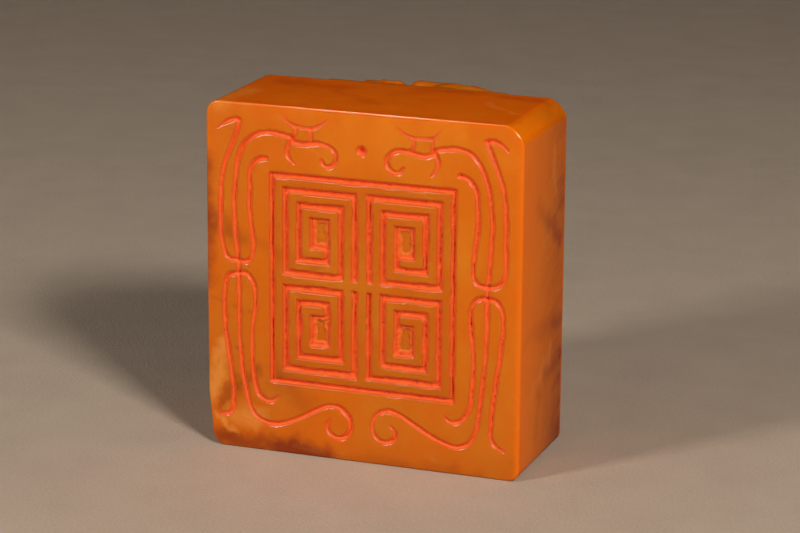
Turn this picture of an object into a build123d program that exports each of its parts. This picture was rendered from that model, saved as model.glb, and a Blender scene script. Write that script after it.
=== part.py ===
from build123d import *
import math
import os

os.makedirs("parts", exist_ok=True)

# Stone block, standing on its lower side with the seal face towards -Y
FACE_WIDTH = 40.0
FACE_HEIGHT = 43.2
BLOCK_DEPTH = 17.1
TOP_CORNER_RADIUS = 1.6
BOTTOM_CORNER_RADIUS = 2.2
BACK_EDGE_RADIUS = 0.9
FACE_EDGE_RADIUS = 0.25
OVERRUN = 1.0

# Line cutting of the two border dragons and the pearl between them
LINE_WIDTH = 0.82
HORN_WIDTH = 0.66
LINE_DEPTH = 0.7
TAPER_RUN = 1.8
PEARL_RADIUS = 0.72

# Sunk field in the middle of the seal face, set inside the border lines by these gaps
FIELD_SIDE_GAP = 1.46
FIELD_UPPER_GAP = 0.82
FIELD_LOWER_GAP = 1.61
FIELD_DEPTH = 0.85
FRAME_GROOVE = 0.7
FRAME_LAND = 0.95
QUARTER_LAND = 1.05
FRET_GROOVE = 0.8
FRET_RIDGE = 0.95
FRET_PANEL_LEAST = 2.0
FRET_CORNER_RADIUS = 0.18

# Seal paste left on the floors of the cutting
PASTE_THICKNESS = 0.2

# Carved knob: a low plinth and a hornless dragon coiled on it
PLINTH_WIDTH = 33.6
PLINTH_HEIGHT = 42.4
PLINTH_RISE = 2.6
PLINTH_CORNER_RADIUS = 6.0
PLINTH_EDGE_RADIUS = 1.0
KNOB_WIDTH = 34.2
KNOB_HEIGHT = 42.4
KNOB_RISE = 12.4
COIL_EXPONENT = 4.0
BODY_RADIUS = 5.1
BODY_LIFT = 1.0
END_BALL_SHARE = 1.03
MOUND_WIDTH = 24.0
MOUND_HEIGHT = 33.0
MOUND_RISE = 6.2
LOCK_RADIUS = 1.6
NECK_RADIUS = 3.7
CROWN_WIDTH = 9.6
CROWN_LENGTH = 9.8
CROWN_DEPTH = 8.4
SNOUT_WIDTH = 6.6
SNOUT_LENGTH = 9.6
SNOUT_DEPTH = 5.6
NOSE_WIDTH = 4.8
NOSE_LENGTH = 3.4
NOSE_DEPTH = 3.6
JAW_WIDTH = 6.2
JAW_LENGTH = 9.4
JAW_DEPTH = 4.6
BROW_WIDTH = 3.6
BROW_LENGTH = 2.6
BROW_DEPTH = 3.0
EAR_WIDTH = 2.2
EAR_LENGTH = 5.0
EAR_DEPTH = 2.4
ARM_RADIUS = 2.5
PAW_WIDTH = 4.8
PAW_LENGTH = 5.6
PAW_DEPTH = 4.0
HAUNCH_WIDTH = 9.6
HAUNCH_LENGTH = 11.0
HAUNCH_DEPTH = 9.4

# The block's face lies half of the whole depth in front of the origin
WHOLE_DEPTH = BLOCK_DEPTH + KNOB_RISE
INTO_STONE = (0, 1, 0)
FACE_PLANE = Plane(origin=(-FACE_WIDTH / 2, 0, 0), x_dir=(1, 0, 0), z_dir=(0, -1, 0))

# Border strokes as centre lines, in shares of the face's width and height from its lower left.
# Each stroke: points, width at its start and at its end as shares of the full line width.
LEFT_DRAGON_SHARES = {
    "crest feather hook": ([(0.035, 0.922), (0.06, 0.938), (0.085, 0.951), (0.109, 0.951)], 0.35, 1),
    "outer upper feather": (
        [(0.109, 0.951), (0.098, 0.915), (0.07, 0.85), (0.05, 0.775), (0.045, 0.68), (0.052, 0.59),
         (0.072, 0.554), (0.10, 0.551)], 1, 1),
    "spine and tail": (
        [(0.28, 0.914), (0.22, 0.922), (0.165, 0.916), (0.12, 0.88), (0.10, 0.825), (0.091, 0.74),
         (0.093, 0.64), (0.102, 0.55), (0.104, 0.45), (0.105, 0.34), (0.114, 0.23), (0.132, 0.15),
         (0.162, 0.096), (0.21, 0.083), (0.28, 0.10), (0.36, 0.141), (0.42, 0.156), (0.463, 0.12),
         (0.458, 0.08), (0.42, 0.064), (0.39, 0.09), (0.402, 0.117)], 1, 0.7),
    "inner upper feather": (
        [(0.19, 0.849), (0.152, 0.83), (0.140, 0.76), (0.142, 0.67), (0.151, 0.585),
         (0.137, 0.553), (0.10, 0.551)], 1.15, 1),
    "outer lower feather": (
        [(0.10, 0.51), (0.068, 0.50), (0.057, 0.45), (0.058, 0.36), (0.070, 0.28), (0.080, 0.20),
         (0.082, 0.125), (0.066, 0.095), (0.042, 0.094)], 1, 0.55),
    "inner lower feather": (
        [(0.10, 0.51), (0.144, 0.503), (0.157, 0.45), (0.147, 0.36), (0.145, 0.28), (0.155, 0.20),
         (0.182, 0.152), (0.215, 0.152), (0.23, 0.165)], 1, 0.55),
    "snout and lip curl": (
        [(0.275, 0.907), (0.31, 0.898), (0.345, 0.902), (0.39, 0.899), (0.418, 0.87),
         (0.402, 0.843), (0.372, 0.856)], 1, 0.8),
    "beard": ([(0.275, 0.907), (0.262, 0.875), (0.282, 0.841)], 1, 0.6),
}
LEFT_HORN_SHARES = {
    "outer horn": ([(0.247, 0.975), (0.262, 0.957), (0.285, 0.946)], 0.35, 1),
    "brow": ([(0.285, 0.946), (0.312, 0.943), (0.34, 0.944)], 1, 1),
    "inner horn": ([(0.34, 0.944), (0.37, 0.957), (0.39, 0.972)], 1, 0.35),
    "outer cheek": ([(0.285, 0.946), (0.286, 0.925), (0.275, 0.907)], 1, 1),
    "inner cheek": ([(0.338, 0.944), (0.335, 0.924), (0.345, 0.902)], 1, 1),
}
RIGHT_DRAGON_SHARES = {
    "crest feather hook": ([(0.95, 0.929), (0.935, 0.942), (0.912, 0.952), (0.887, 0.95)], 0.55, 1),
    "outer upper feather": (
        [(0.887, 0.95), (0.908, 0.90), (0.935, 0.835), (0.948, 0.74), (0.95, 0.64), (0.941, 0.568),
         (0.915, 0.548), (0.893, 0.548)], 1, 1),
    "spine and tail": (
        [(0.72, 0.912), (0.785, 0.922), (0.84, 0.912), (0.877, 0.868), (0.898, 0.80), (0.907, 0.72),
         (0.902, 0.62), (0.895, 0.53), (0.894, 0.42), (0.888, 0.32), (0.875, 0.20), (0.855, 0.115),
         (0.82, 0.083), (0.77, 0.086), (0.70, 0.113), (0.62, 0.154), (0.565, 0.157), (0.536, 0.12),
         (0.552, 0.076), (0.595, 0.072), (0.610, 0.10), (0.592, 0.118)], 1, 0.7),
    "inner upper feather": (
        [(0.808, 0.849), (0.846, 0.83), (0.861, 0.77), (0.859, 0.68), (0.850, 0.59),
         (0.862, 0.553), (0.893, 0.548)], 1.15, 1),
    "outer lower feather": (
        [(0.893, 0.512), (0.932, 0.50), (0.944, 0.45), (0.938, 0.37), (0.924, 0.27), (0.911, 0.155),
         (0.922, 0.098), (0.95, 0.085)], 1, 0.55),
    "inner lower feather": (
        [(0.893, 0.512), (0.855, 0.503), (0.843, 0.45), (0.852, 0.36), (0.851, 0.25), (0.835, 0.18),
         (0.80, 0.149), (0.765, 0.165)], 1, 0.55),
    "snout and lip curl": (
        [(0.725, 0.907), (0.685, 0.896), (0.65, 0.902), (0.605, 0.901), (0.577, 0.87),
         (0.597, 0.842), (0.628, 0.856)], 1, 0.8),
    "beard": ([(0.725, 0.907), (0.737, 0.878), (0.716, 0.842)], 1, 0.6),
}
RIGHT_HORN_SHARES = {
    "outer horn": ([(0.745, 0.973), (0.735, 0.957), (0.718, 0.945)], 0.35, 1),
    "brow": ([(0.718, 0.945), (0.69, 0.943), (0.66, 0.943)], 1, 1),
    "inner horn": ([(0.66, 0.943), (0.635, 0.95), (0.608, 0.972)], 1, 0.35),
    "outer cheek": ([(0.718, 0.945), (0.719, 0.925), (0.725, 0.907)], 1, 1),
    "inner cheek": ([(0.66, 0.943), (0.662, 0.924), (0.65, 0.902)], 1, 1),
}
PEARL_SHARE = (0.498, 0.893)
# How far in the border lines reach towards the field, from the side, from below and from above
BORDER_SIDE_SHARE = 0.157
BORDER_LOWER_SHARE = 0.157
BORDER_UPPER_SHARE = 0.159

# Coil of the body from tail tip to shoulder: turn, radius
COIL_SHARES = [
    (0.276, 0.25), (0.291, 0.36), (0.314, 0.45), (0.338, 0.52), (0.362, 0.58), (0.40, 0.63),
    (0.45, 0.66), (0.50, 0.68), (0.56, 0.72), (0.61, 0.79), (0.645, 0.86), (0.68, 0.92),
    (0.72, 0.97), (0.77, 1.0), (0.815, 0.98), (0.85, 0.96), (0.89, 0.94), (0.94, 0.92),
    (1.0, 0.91), (1.055, 0.92), (1.10, 0.95), (1.135, 0.98), (1.175, 1.0), (1.215, 1.0),
]
# Flame lock that streams from the shoulder along the knob's upper edge: across, up, rise
LOCK_SHARES = [(0.66, 0.857, 0.36), (0.44, 0.917, 0.35), (0.2, 0.925, 0.34), (-0.03, 0.94, 0.34)]
LOCK_RADIUS_SHARES = [0.75, 0.9, 1.0, 0.85]
# Places on the knob: across and up from its middle, rise above the block's back
NECK_SHARES = [
    (0.26, 0.74, 0.33), (0.17, 0.67, 0.45), (0.07, 0.53, 0.55), (0.01, 0.36, 0.6), (0.0, 0.2, 0.6),
]
NECK_RADIUS_SHARES = [1.2, 1.08, 0.96, 0.88, 0.8]
CROWN_UP_SHARE = 0.09
SNOUT_SHARE = (0.0, -0.2, 0.52)
NOSE_SHARE = (0.0, -0.36, 0.6)
JAW_SHARE = (0.0, -0.16, 0.36)
BROW_SHARE = (0.17, 0.0, 0.82)
EAR_SHARE = (0.27, 0.2, 0.7)
RIGHT_ARM_SHARES = [
    (0.5, 0.5, 0.36), (0.42, 0.24, 0.4), (0.37, -0.02, 0.38), (0.31, -0.24, 0.36),
]
LEFT_ARM_SHARES = [
    (-0.02, 0.62, 0.42), (-0.26, 0.58, 0.4), (-0.43, 0.38, 0.38), (-0.43, 0.05, 0.38),
    (-0.31, -0.24, 0.36),
]
RIGHT_ARM_RADIUS_SHARES = [1.15, 1.0, 0.88, 0.74]
LEFT_ARM_RADIUS_SHARES = [1.05, 1.2, 1.05, 0.88, 0.74]
PAW_SHARE = (0.3, -0.32, 0.38)
HAUNCH_SHARE = (-0.56, -0.6, 0.36)
HIND_LEG_SHARES = [(-0.56, -0.5, 0.38), (-0.58, -0.28, 0.38), (-0.54, -0.08, 0.34), (-0.5, 0.06, 0.3)]
HIND_LEG_RADIUS_SHARES = [1.15, 1.0, 0.85, 0.7]
HIND_PAW_SHARE = (-0.49, 0.12, 0.3)


def stroke_outline(shares, width, start_share, end_share):
    """One cut line: a band along a curve through the given points, with round, tapered ends."""
    line = Spline(*[(across * FACE_WIDTH, up * FACE_HEIGHT) for across, up in shares])
    taper = TAPER_RUN / line.length
    count = len(shares) + len(shares) // 2
    left = []
    right = []
    for step in range(count + 1):
        along = step / count
        grow_in = min(1, start_share + (1 - start_share) * along / taper)
        if start_share > 1:
            grow_in = max(1, start_share - (start_share - 1) * along / taper)
        grow_out = min(1, end_share + (1 - end_share) * (1 - along) / taper)
        reach = width / 2 * grow_in * grow_out
        point = line.position_at(along)
        side = line.tangent_at(along).rotate(Axis.Z, 90) * reach
        left.append(point + side)
        right.append(point - side)
    start_tip = line.position_at(0) - line.tangent_at(0) * ((left[0] - right[0]).length / 2)
    end_tip = line.position_at(1) + line.tangent_at(1) * ((left[-1] - right[-1]).length / 2)
    edges = [
        Spline(*left),
        ThreePointArc(left[-1], end_tip, right[-1]),
        Spline(*reversed(right)),
        ThreePointArc(right[0], start_tip, left[0]),
    ]
    return make_face(edges)


def dragon_outline(line_shares, horn_shares):
    """All cut lines of one border dragon, joined into one outline."""
    outline = Sketch()
    for shares, start_share, end_share in line_shares.values():
        outline += stroke_outline(shares, LINE_WIDTH, start_share, end_share)
    for shares, start_share, end_share in horn_shares.values():
        outline += stroke_outline(shares, HORN_WIDTH, start_share, end_share)
    return outline


def bar_between(start, end, width):
    """Straight groove outline with square ends from one corner point to the next."""
    across = abs(end[0] - start[0]) + width
    up = abs(end[1] - start[1]) + width
    return Pos((start[0] + end[0]) / 2, (start[1] + end[1]) / 2) * Rectangle(across, up)


def fret_outline(width, height):
    """Square spiral channel that winds in to a plain sunk panel, its mouth at the lower right.

    It takes as many turns as leave the panel its least size.
    """
    pitch = FRET_GROOVE + FRET_RIDGE
    half = FRET_GROOVE / 2
    turns = int((min(width, height) - FRET_PANEL_LEAST) / (2 * pitch))
    corners = [(width - half, half)]
    for turn in range(turns):
        inset = half + turn * pitch
        corners.append((width - inset, height - inset))
        corners.append((inset, height - inset))
        corners.append((inset, inset))
        corners.append((width - inset - pitch, inset))
    core = half + turns * pitch
    corners.append((width - core, core))
    outline = Sketch()
    for start, end in zip(corners, corners[1:]):
        outline += bar_between(start, end, FRET_GROOVE)
    panel = Rectangle(width - 2 * core + FRET_GROOVE, height - 2 * core + FRET_GROOVE)
    outline += Pos(width / 2, height / 2) * panel
    return fillet(outline.vertices(), FRET_CORNER_RADIUS)


def field_box():
    """Left, lower, right and upper side of the field, inside the lines of the border."""
    side = BORDER_SIDE_SHARE * FACE_WIDTH + LINE_WIDTH / 2 + FIELD_SIDE_GAP
    lower = BORDER_LOWER_SHARE * FACE_HEIGHT + LINE_WIDTH / 2 + FIELD_LOWER_GAP
    upper = BORDER_UPPER_SHARE * FACE_HEIGHT + LINE_WIDTH / 2 + FIELD_UPPER_GAP
    return side, lower, FACE_WIDTH - side, FACE_HEIGHT - upper


def quarter_outlines():
    """The four mirrored frets of the field, by name, each in its own quarter."""
    left, lower, right, upper = field_box()
    width = (right - left - QUARTER_LAND) / 2 - FRAME_GROOVE - FRAME_LAND
    height = (upper - lower - QUARTER_LAND) / 2 - FRAME_GROOVE - FRAME_LAND
    fret = fret_outline(width, height)
    upper_left = Pos(-QUARTER_LAND / 2 - width, QUARTER_LAND / 2) * fret
    upper_right = mirror(upper_left, Plane.YZ)
    centre = Pos((left + right) / 2, (lower + upper) / 2)
    return {
        "upper_left": centre * upper_left,
        "upper_right": centre * upper_right,
        "lower_left": centre * mirror(upper_left, Plane.XZ),
        "lower_right": centre * mirror(upper_right, Plane.XZ),
    }


def frame_outline():
    """Thin square line that bounds the field."""
    left, lower, right, upper = field_box()
    outer = RectangleRounded(right - left, upper - lower, FRAME_GROOVE / 2)
    inner = Rectangle(right - left - 2 * FRAME_GROOVE, upper - lower - 2 * FRAME_GROOVE)
    return Pos((left + right) / 2, (lower + upper) / 2) * (outer - inner)


def cutter(outline, depth):
    """Straight-walled cutting of an outline, from in front of the face down to its floor."""
    solid = extrude(FACE_PLANE * outline, amount=depth + OVERRUN, dir=INTO_STONE)
    return Pos(0, -OVERRUN, 0) * solid


def paste(outline, depth):
    """Layer of seal paste on the floor of one cutting."""
    solid = extrude(FACE_PLANE * outline, amount=PASTE_THICKNESS, dir=INTO_STONE)
    return Pos(0, depth - PASTE_THICKNESS, 0) * solid


def rounded_block():
    """The stone block with its worn long edges and eased rims."""
    block = Box(FACE_WIDTH, BLOCK_DEPTH, FACE_HEIGHT, align=(Align.CENTER, Align.MIN, Align.MIN))
    long_edges = block.edges().filter_by(Axis.Y).group_by(Axis.Z)
    block = fillet(long_edges[-1], TOP_CORNER_RADIUS)
    long_edges = block.edges().filter_by(Axis.Y).group_by(Axis.Z)
    block = fillet(long_edges[0], BOTTOM_CORNER_RADIUS)
    block = fillet(block.faces().sort_by(Axis.Y)[-1].edges(), BACK_EDGE_RADIUS)
    return fillet(block.faces().sort_by(Axis.Y)[0].edges(), FACE_EDGE_RADIUS)


def knob_point(across_share, up_share, rise_share):
    """Place on the knob from shares of its half width, half height and rise."""
    return Vector(
        across_share * KNOB_WIDTH / 2,
        BLOCK_DEPTH + rise_share * KNOB_RISE,
        FACE_HEIGHT / 2 + up_share * KNOB_HEIGHT / 2,
    )


def coil_point(turn_share, radius):
    """Centre of the coiled body, which keeps its outer side on one squared oval."""
    angle = 2 * math.pi * turn_share
    across = math.cos(angle) / (KNOB_WIDTH / 2 - radius)
    up = math.sin(angle) / (KNOB_HEIGHT / 2 - radius)
    reach = (abs(across) ** COIL_EXPONENT + abs(up) ** COIL_EXPONENT) ** (-1 / COIL_EXPONENT)
    return Vector(
        reach * math.cos(angle),
        BLOCK_DEPTH + PLINTH_RISE + BODY_LIFT,
        FACE_HEIGHT / 2 + reach * math.sin(angle),
    )


def limb(points, radii):
    """Smooth round limb through the given centres."""
    sections = []
    for index, (point, radius) in enumerate(zip(points, radii)):
        before = points[max(index - 1, 0)]
        after = points[min(index + 1, len(points) - 1)]
        section = Plane(origin=point, x_dir=INTO_STONE, z_dir=after - before)
        sections.append(section * Circle(radius))
    return loft(sections)


def ellipsoid(centre, width, depth, height):
    """Rounded form of three full sizes along X, Y and Z."""
    return Pos(*centre) * scale(Sphere(1), by=(width / 2, depth / 2, height / 2))


def mirrored_places(place):
    """The same place on the knob's right and left side."""
    across_share, up_share, rise_share = place
    return [(across_share, up_share, rise_share), (-across_share, up_share, rise_share)]


def knob_plinth():
    """Low rounded ground that the dragon lies on, let into the block by one overrun."""
    outline = Plane(knob_point(0, 0, 0), x_dir=(1, 0, 0), z_dir=INTO_STONE) * RectangleRounded(
        PLINTH_WIDTH, PLINTH_HEIGHT, PLINTH_CORNER_RADIUS)
    plinth = Pos(0, -OVERRUN, 0) * extrude(outline, amount=PLINTH_RISE + OVERRUN, dir=INTO_STONE)
    return fillet(plinth.faces().sort_by(Axis.Y)[-1].edges(), PLINTH_EDGE_RADIUS)


def dragon_head():
    """Head at the middle of the coil, its snout down between the fore paws."""
    crown_place = (0, CROWN_UP_SHARE, 1 - CROWN_DEPTH / 2 / KNOB_RISE)
    forms = [
        ellipsoid(knob_point(*crown_place), CROWN_WIDTH, CROWN_DEPTH, CROWN_LENGTH),
        ellipsoid(knob_point(*SNOUT_SHARE), SNOUT_WIDTH, SNOUT_DEPTH, SNOUT_LENGTH),
        ellipsoid(knob_point(*NOSE_SHARE), NOSE_WIDTH, NOSE_DEPTH, NOSE_LENGTH),
        ellipsoid(knob_point(*JAW_SHARE), JAW_WIDTH, JAW_DEPTH, JAW_LENGTH),
    ]
    for place in mirrored_places(BROW_SHARE):
        forms.append(ellipsoid(knob_point(*place), BROW_WIDTH, BROW_DEPTH, BROW_LENGTH))
    for place in mirrored_places(EAR_SHARE):
        forms.append(ellipsoid(knob_point(*place), EAR_WIDTH, EAR_DEPTH, EAR_LENGTH))
    return forms


def placed_limb(shares, radius, radius_shares):
    """Limb through places on the knob, its radius a share of one named radius."""
    return limb([knob_point(*place) for place in shares], [share * radius for share in radius_shares])


def carved_knob():
    """Plinth and coiled dragon: body, neck, head, legs and the ground inside the coil."""
    radii = [share * BODY_RADIUS for turn, share in COIL_SHARES]
    points = [coil_point(turn, radius) for (turn, share), radius in zip(COIL_SHARES, radii)]
    lock_end_radius = LOCK_RADIUS * LOCK_RADIUS_SHARES[-1]
    forms = [
        knob_plinth(),
        limb(points, radii),
        Pos(*points[0]) * Sphere(radii[0] * END_BALL_SHARE),
        Pos(*points[-1]) * Sphere(radii[-1] * END_BALL_SHARE),
        ellipsoid(knob_point(0, 0, 0), MOUND_WIDTH, 2 * MOUND_RISE, MOUND_HEIGHT),
        placed_limb(NECK_SHARES, NECK_RADIUS, NECK_RADIUS_SHARES),
        placed_limb(LOCK_SHARES, LOCK_RADIUS, LOCK_RADIUS_SHARES),
        Pos(*knob_point(*LOCK_SHARES[-1])) * Sphere(lock_end_radius * END_BALL_SHARE),
        placed_limb(RIGHT_ARM_SHARES, ARM_RADIUS, RIGHT_ARM_RADIUS_SHARES),
        placed_limb(LEFT_ARM_SHARES, ARM_RADIUS, LEFT_ARM_RADIUS_SHARES),
        placed_limb(HIND_LEG_SHARES, ARM_RADIUS, HIND_LEG_RADIUS_SHARES),
        ellipsoid(knob_point(*HAUNCH_SHARE), HAUNCH_WIDTH, HAUNCH_DEPTH, HAUNCH_LENGTH),
    ]
    for place in [*mirrored_places(PAW_SHARE), HIND_PAW_SHARE]:
        forms.append(ellipsoid(knob_point(*place), PAW_WIDTH, PAW_DEPTH, PAW_LENGTH))
    return forms + dragon_head()


outlines = {
    "paste_left_dragon": (dragon_outline(LEFT_DRAGON_SHARES, LEFT_HORN_SHARES), LINE_DEPTH),
    "paste_right_dragon": (dragon_outline(RIGHT_DRAGON_SHARES, RIGHT_HORN_SHARES), LINE_DEPTH),
    "paste_pearl": (
        Pos(PEARL_SHARE[0] * FACE_WIDTH, PEARL_SHARE[1] * FACE_HEIGHT) * Circle(PEARL_RADIUS),
        LINE_DEPTH,
    ),
    "paste_field_frame": (frame_outline(), FIELD_DEPTH),
}
for quarter, outline in quarter_outlines().items():
    outlines["paste_field_" + quarter] = (outline, FIELD_DEPTH)

stone = rounded_block()
for outline, depth in outlines.values():
    stone -= cutter(outline, depth)
stone += carved_knob()

nodes = {"seal_stone": stone}
for name, (outline, depth) in outlines.items():
    nodes[name] = paste(outline, depth)

for name, solid in nodes.items():
    export_step(Pos(0, -WHOLE_DEPTH / 2, 0) * solid, "parts/" + name + ".step")
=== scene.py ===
"""Looks of a carved stone seal: waxy amber stone, coiled dragon knob and red seal paste."""
import math
from functools import partialmethod

import bmesh
import bpy
from bpy.props import FloatProperty, FloatVectorProperty, IntProperty, PointerProperty
from mathutils import Matrix, Vector, noise
from mathutils.bvhtree import BVHTree
from mathutils.kdtree import KDTree


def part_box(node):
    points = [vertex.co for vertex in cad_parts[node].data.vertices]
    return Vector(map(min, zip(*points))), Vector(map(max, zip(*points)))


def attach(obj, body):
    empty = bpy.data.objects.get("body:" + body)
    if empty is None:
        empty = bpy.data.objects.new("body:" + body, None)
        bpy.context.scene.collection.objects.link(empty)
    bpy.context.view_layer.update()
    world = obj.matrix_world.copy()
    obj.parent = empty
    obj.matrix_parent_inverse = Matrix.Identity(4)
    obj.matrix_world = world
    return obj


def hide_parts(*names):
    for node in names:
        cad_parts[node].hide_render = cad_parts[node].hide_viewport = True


bl_info = {
    "name": "Carved stone seal",
    "version": (1, 0, 0),
    "blender": (4, 5, 0),
    "location": "3D View > Sidebar > Seal",
    "description": "Makes a carved seal's stone, paste and stage around its packed solids",
    "category": "Object",
}

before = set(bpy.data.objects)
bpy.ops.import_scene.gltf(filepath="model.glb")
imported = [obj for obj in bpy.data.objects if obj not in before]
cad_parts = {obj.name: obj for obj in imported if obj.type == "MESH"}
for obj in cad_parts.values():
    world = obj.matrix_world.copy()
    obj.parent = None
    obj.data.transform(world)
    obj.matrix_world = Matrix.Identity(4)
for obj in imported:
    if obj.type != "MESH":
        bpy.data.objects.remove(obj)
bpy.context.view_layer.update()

# All modelling is in millimetres and becomes metres when a piece is handed over
MM = 0.001
STONE_NODE = "seal_stone"
PASTE_NODES = sorted(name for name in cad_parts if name.startswith("paste_"))
FIELD_PREFIX = "paste_field"
LOW, HIGH = (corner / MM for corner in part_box(STONE_NODE))
FACE_Y = LOW.y
WIDTH = HIGH.x - LOW.x
HEIGHT = HIGH.z - LOW.z
FIELD_LOW, FIELD_HIGH = (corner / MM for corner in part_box("paste_field_frame"))

# The block's back is as far as its right side reaches, and the knob's skin lies behind that
SIDE_SHARE = 0.95
KNOB_MARGIN = 1.0
STONE_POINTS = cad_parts[STONE_NODE].data.vertices
BACK_Y = max(point.co.y for point in STONE_POINTS if point.co.x > SIDE_SHARE * HIGH.x * MM) / MM
KNOB_SKIN = [point.co / MM for point in STONE_POINTS if point.co.y > (BACK_Y + KNOB_MARGIN) * MM]
KNOB_HALF_WIDTH = max(place.x for place in KNOB_SKIN)
KNOB_HALF_HEIGHT = (max(place.z for place in KNOB_SKIN) - min(place.z for place in KNOB_SKIN)) / 2
KNOB_RISE = HIGH.y - BACK_Y
MIDDLE_Z = (LOW.z + HIGH.z) / 2


def screen_colour(red, green, blue):
    """Linear colour of a screen colour given from 0 to 255."""
    return tuple(((level / 255 + 0.055) / 1.055) ** 2.4 if level > 10 else level / 255 / 12.92
                 for level in (red, green, blue)) + (1.0,)


def measure(description, default, unit="NONE"):
    """A size, share or power that a user may change."""
    return FloatProperty(description=description, default=default, unit=unit)


def paint(description, *levels):
    """A colour that a user may change, given in screen levels from 0 to 255."""
    return FloatVectorProperty(description=description, subtype="COLOR", size=4,
                               default=screen_colour(*levels))


class SealStoneSettings(bpy.types.PropertyGroup):
    """Worn edges of the block, in millimetres, and colours of the stone."""
    back_rim: measure("Radius of the rim round the back", 0.9)
    face_rim: measure("Radius of the eased rim of the face", 0.26)
    foot_wear: measure("How far the left foot is worn in", 0.7)
    amber: paint("Main colour of the stone", 219, 106, 2)
    honey: paint("Paler clouds in the stone", 224, 124, 16)
    # Russet also gives the painted shade on the field's land near the face
    russet: paint("Brown veins in the stone", 140, 52, 12)
    pale: paint("Pale wisps in the stone", 238, 158, 70)


class SealCutSettings(bpy.types.PropertyGroup):
    """How the lines and the field are cut into the face, in millimetres."""
    cell: measure("Grid cell of the cut surface", 0.14)
    waver: measure("How far the hand let the cuts stray", 0.09)
    swell: measure("How much wider or narrower the cuts run", 0.09)
    half_line: measure("Half width of a full cut line", 0.34)
    line_share: measure("Share of its full depth that a line reaches", 0.95)
    narrowing: measure("How far the hand stayed inside a line", 0.16)
    field_narrowing: measure("How far it stayed inside the field", 0.04)
    shoulder: measure("Width of the worn shoulder beside a cut", 0.26)
    shoulder_drop: measure("How far the shoulder drops", 0.06)
    rim_slope: measure("Steepness of the tool outside a cut", 1.0)
    field_share: measure("Share of its full depth that the field keeps", 0.78)
    wall_run: measure("How far a field wall leans in", 0.24)
    tool_mark: measure("Unevenness of the field's floor", 0.07)


class SealPasteSettings(bpy.types.PropertyGroup):
    """Seal paste left in the cuts, in millimetres."""
    lay: measure("Usual thickness on the walls", 0.05)
    field_lay: measure("Usual thickness in the field", 0.1)
    grain: measure("Height of its grains", 0.05)
    rim_gap: measure("How far it stays below the face", 0.02)
    rim_fill: measure("How fast it thickens from the rim inwards", 0.6)
    back: measure("How far its back lies in the stone", 0.15)
    colour: paint("Colour of the paste", 234, 58, 12)


class SealKnobSettings(bpy.types.PropertyGroup):
    """Detail of the carved knob, in millimetres."""
    voxel: measure("Size of the carving's mesh", 0.25)
    smooth_rounds: IntProperty(description="Rounds of smoothing", default=3)
    kept_share: measure("Share of the carving's faces that are kept", 0.42)
    scale_size: measure("Length of one body scale", 2.1)
    scale_height: measure("Height of one scale's edge", 0.2)


class SealStageSettings(bpy.types.PropertyGroup):
    """Floor, lights and room round the seal."""
    floor_colour: paint("Colour of the floor", 200, 176, 151)
    key_power: measure("Power of the right front light", 2.6, "POWER")
    fill_power: measure("Power of the left front light", 1.75, "POWER")
    top_power: measure("Power of the small lamp above", 0.6, "POWER")
    back_power: measure("Power of the spot behind", 5.5, "POWER")
    room_strength: measure("Light of the room all round", 0.03)
    room_gloss: measure("Light of the room as polish mirrors it", 0.006)


class Wire:
    """A shader socket that stands in a sum: each sign adds the Math node for it."""

    def __init__(self, tree, socket=None):
        self.tree = tree
        self.socket = socket

    def node(self, kind, settings=None, sockets=None, output=0):
        """Adds a node of a kind, sets it up, fills its sockets and returns one output."""
        node = self.tree.nodes.new("ShaderNode" + kind)
        for name, value in (settings or {}).items():
            setattr(node, name, value)
        for name, value in (sockets or {}).items():
            if isinstance(value, Wire):
                self.tree.links.new(value.socket, node.inputs[name])
            else:
                node.inputs[name].default_value = value
        return Wire(self.tree, node.outputs[output])

    def before(self, operation, other=0.0):
        """Math node with this wire before the other value."""
        return self.node("Math", {"operation": operation}, {0: self, 1: other})

    def after(self, operation, other):
        """Math node with this wire after the other value."""
        return self.node("Math", {"operation": operation}, {0: other, 1: self})

    __add__, __radd__ = partialmethod(before, "ADD"), partialmethod(after, "ADD")
    __sub__, __rsub__ = partialmethod(before, "SUBTRACT"), partialmethod(after, "SUBTRACT")
    __mul__, __rmul__ = partialmethod(before, "MULTIPLY"), partialmethod(after, "MULTIPLY")

    def held(self):
        """The value held between 0 and 1."""
        return self.node("Math", {"operation": "ADD", "use_clamp": True}, {0: self, 1: 0.0})

    def ramp(self, low, high):
        """Smooth step from 0 at low to 1 at high."""
        return self.node("MapRange", {"interpolation_type": "SMOOTHSTEP"},
                         {"Value": self, "From Min": low, "From Max": high})

    def mix(self, first, second):
        """Mix of two colours by this value."""
        return self.node("Mix", {"data_type": "RGBA"}, {0: self, 6: first, 7: second}, 2)


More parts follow.
